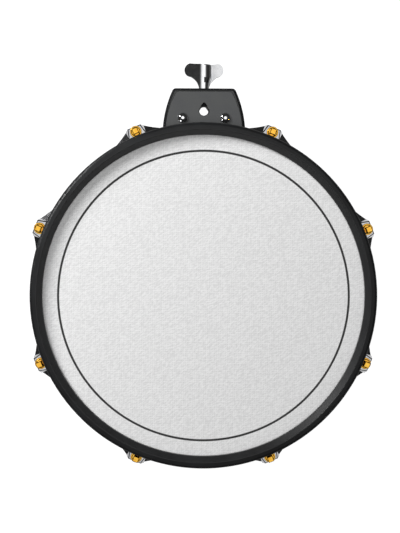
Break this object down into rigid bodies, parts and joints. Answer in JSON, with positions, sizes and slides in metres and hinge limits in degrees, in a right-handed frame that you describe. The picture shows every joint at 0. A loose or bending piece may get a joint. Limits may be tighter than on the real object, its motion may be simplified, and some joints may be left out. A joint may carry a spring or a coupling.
{
  "type": "mesh-head drum pad",
  "caption": "Round mesh-head drum practice pad with rubber-covered cast hoop, key-tuned tension rods, lugged shell and a side bracket that clamps onto an L-rod.",
  "frame": {"origin": "centre of the base sheet's underside, on the pad's axis, at the level it stands on", "axes": "+Z out of the playing face, +Y towards the clamp bracket and wing nut, +X to the right seen from the playing face"},
  "size_m": [0.3769, 0.4457, 0.1226],
  "materials": {
    "base_rubber": "matt moulded rubber",
    "cover_plastic": "moulded ABS, fine texture",
    "black_steel": "black zinc",
    "shell_lacquer": "black lacquered ply",
    "head_mesh": "woven two-ply mesh, light grey",
    "hoop_aluminium": "rolled, satin",
    "dark_chrome": "black-nickel polished casting",
    "hoop_rubber": "satin moulded rubber",
    "gold_plate": "gold plated, polished",
    "bright_chrome": "polished",
    "zinc_steel": "zinc plated",
    "brass": "machined",
    "gasket": "thin fibre-rubber sheet",
    "bracket_black": "moulded, satin black",
    "bracket_grey": "moulded, matt dark grey",
    "jack_plastic": "moulded, satin black",
    "foam": "open-cell foam",
    "board": "glass-fibre laminate",
    "lead": "soft insulation"
  },
  "bodies": {
    "shell": {"board_screws": "zinc_steel", "board_spacers": "zinc_steel", "bottom_cover": "cover_plastic", "bottom_cover_screws": "black_steel", "bracket_backing_plate": "black_steel", "bracket_body": "bracket_black", "bracket_bolts": "black_steel", "bracket_face_plate": "bracket_grey", "bracket_gasket": "gasket", "bracket_plate_screws": "bright_chrome", "drum_shell": "shell_lacquer", "eyebolt_bush": "zinc_steel", "foam_cone": "foam", "head_piezo": "brass", "head_piezo_tape": "foam", "head_sensor_lead": "lead", "jack_lead": "lead", "jack_nut": "bright_chrome", "jack_plate": "jack_plastic", "jack_plate_screws": "black_steel", "lug_casing_1": "dark_chrome", "lug_casing_2": "dark_chrome", "lug_casing_3": "dark_chrome", "lug_casing_4": "dark_chrome", "lug_casing_5": "dark_chrome", "lug_casing_6": "dark_chrome", "lug_casing_7": "dark_chrome", "lug_casing_8": "dark_chrome", "lug_gaskets": "gasket", "lug_screw_washers": "black_steel", "lug_screws": "black_steel", "lug_swivel_nuts": "brass", "mesh_collar": "head_mesh", "mesh_head": "head_mesh", "output_jack": "jack_plastic", "rim_piezo": "brass", "rim_piezo_pad": "foam", "rim_sensor_lead": "lead", "rubber_base_sheet": "base_rubber", "sensor_base": "jack_plastic", "trigger_brace": "zinc_steel", "trigger_brace_screws": "black_steel", "wiring_board": "board"},
    "hoop": {"cast_hoop": "dark_chrome", "hoop_rubber_cover": "hoop_rubber", "flesh_hoop": "hoop_aluminium", "tension_rod_washers": "gold_plate"},
    "tension_rod_1": {"tension_rod_1": "gold_plate"},
    "tension_rod_2": {"tension_rod_2": "gold_plate"},
    "tension_rod_3": {"tension_rod_3": "gold_plate"},
    "tension_rod_4": {"tension_rod_4": "gold_plate"},
    "tension_rod_5": {"tension_rod_5": "gold_plate"},
    "tension_rod_6": {"tension_rod_6": "gold_plate"},
    "tension_rod_7": {"tension_rod_7": "gold_plate"},
    "tension_rod_8": {"tension_rod_8": "gold_plate"},
    "eyebolt": {"eyebolt": "black_steel"},
    "wing_nut": {"wing_nut": "bright_chrome"}
  },
  "joints": [
    {"name": "hoop_slide", "type": "slide", "parent": "shell", "child": "hoop", "axis": [0, 0, 1], "range_m": [0, 0.004], "deforming": ["mesh_collar"]},
    {"name": "rod_turn_1", "type": "hinge", "parent": "hoop", "child": "tension_rod_1", "pos_m": [0.17923, 0.07424, 0.1], "axis": [0, 0, 1], "range_deg": [0, 1361.1]},
    {"name": "rod_turn_2", "type": "hinge", "parent": "hoop", "child": "tension_rod_2", "pos_m": [0.07424, 0.17923, 0.1], "axis": [0, 0, 1], "range_deg": [0, 1361.1]},
    {"name": "rod_turn_3", "type": "hinge", "parent": "hoop", "child": "tension_rod_3", "pos_m": [-0.07424, 0.17923, 0.1], "axis": [0, 0, 1], "range_deg": [0, 1361.1]},
    {"name": "rod_turn_4", "type": "hinge", "parent": "hoop", "child": "tension_rod_4", "pos_m": [-0.17923, 0.07424, 0.1], "axis": [0, 0, 1], "range_deg": [0, 1361.1]},
    {"name": "rod_turn_5", "type": "hinge", "parent": "hoop", "child": "tension_rod_5", "pos_m": [-0.17923, -0.07424, 0.1], "axis": [0, 0, 1], "range_deg": [0, 1361.1]},
    {"name": "rod_turn_6", "type": "hinge", "parent": "hoop", "child": "tension_rod_6", "pos_m": [-0.07424, -0.17923, 0.1], "axis": [0, 0, 1], "range_deg": [0, 1361.1]},
    {"name": "rod_turn_7", "type": "hinge", "parent": "hoop", "child": "tension_rod_7", "pos_m": [0.07424, -0.17923, 0.1], "axis": [0, 0, 1], "range_deg": [0, 1361.1]},
    {"name": "rod_turn_8", "type": "hinge", "parent": "hoop", "child": "tension_rod_8", "pos_m": [0.17923, -0.07424, 0.1], "axis": [0, 0, 1], "range_deg": [0, 1361.1]},
    {"name": "eyebolt_slide", "type": "slide", "parent": "shell", "child": "eyebolt", "axis": [0, 1, 0], "range_m": [-0.002, 0.003]},
    {"name": "wing_nut_turn", "type": "hinge", "parent": "shell", "child": "wing_nut", "pos_m": [0, 0.24, 0.0755], "axis": [0, -1, 0], "range_deg": [-720.5, 1080.5]}
  ],
  "couplings": [
    {"joint": "rod_turn_1", "follows": "hoop_slide", "rad_per_m": 5936.9},
    {"joint": "rod_turn_2", "follows": "hoop_slide", "rad_per_m": 5936.9},
    {"joint": "rod_turn_3", "follows": "hoop_slide", "rad_per_m": 5936.9},
    {"joint": "rod_turn_4", "follows": "hoop_slide", "rad_per_m": 5936.9},
    {"joint": "rod_turn_5", "follows": "hoop_slide", "rad_per_m": 5936.9},
    {"joint": "rod_turn_6", "follows": "hoop_slide", "rad_per_m": 5936.9},
    {"joint": "rod_turn_7", "follows": "hoop_slide", "rad_per_m": 5936.9},
    {"joint": "rod_turn_8", "follows": "hoop_slide", "rad_per_m": 5936.9},
    {"joint": "wing_nut_turn", "follows": "eyebolt_slide", "rad_per_m": 6283.2}
  ]
}
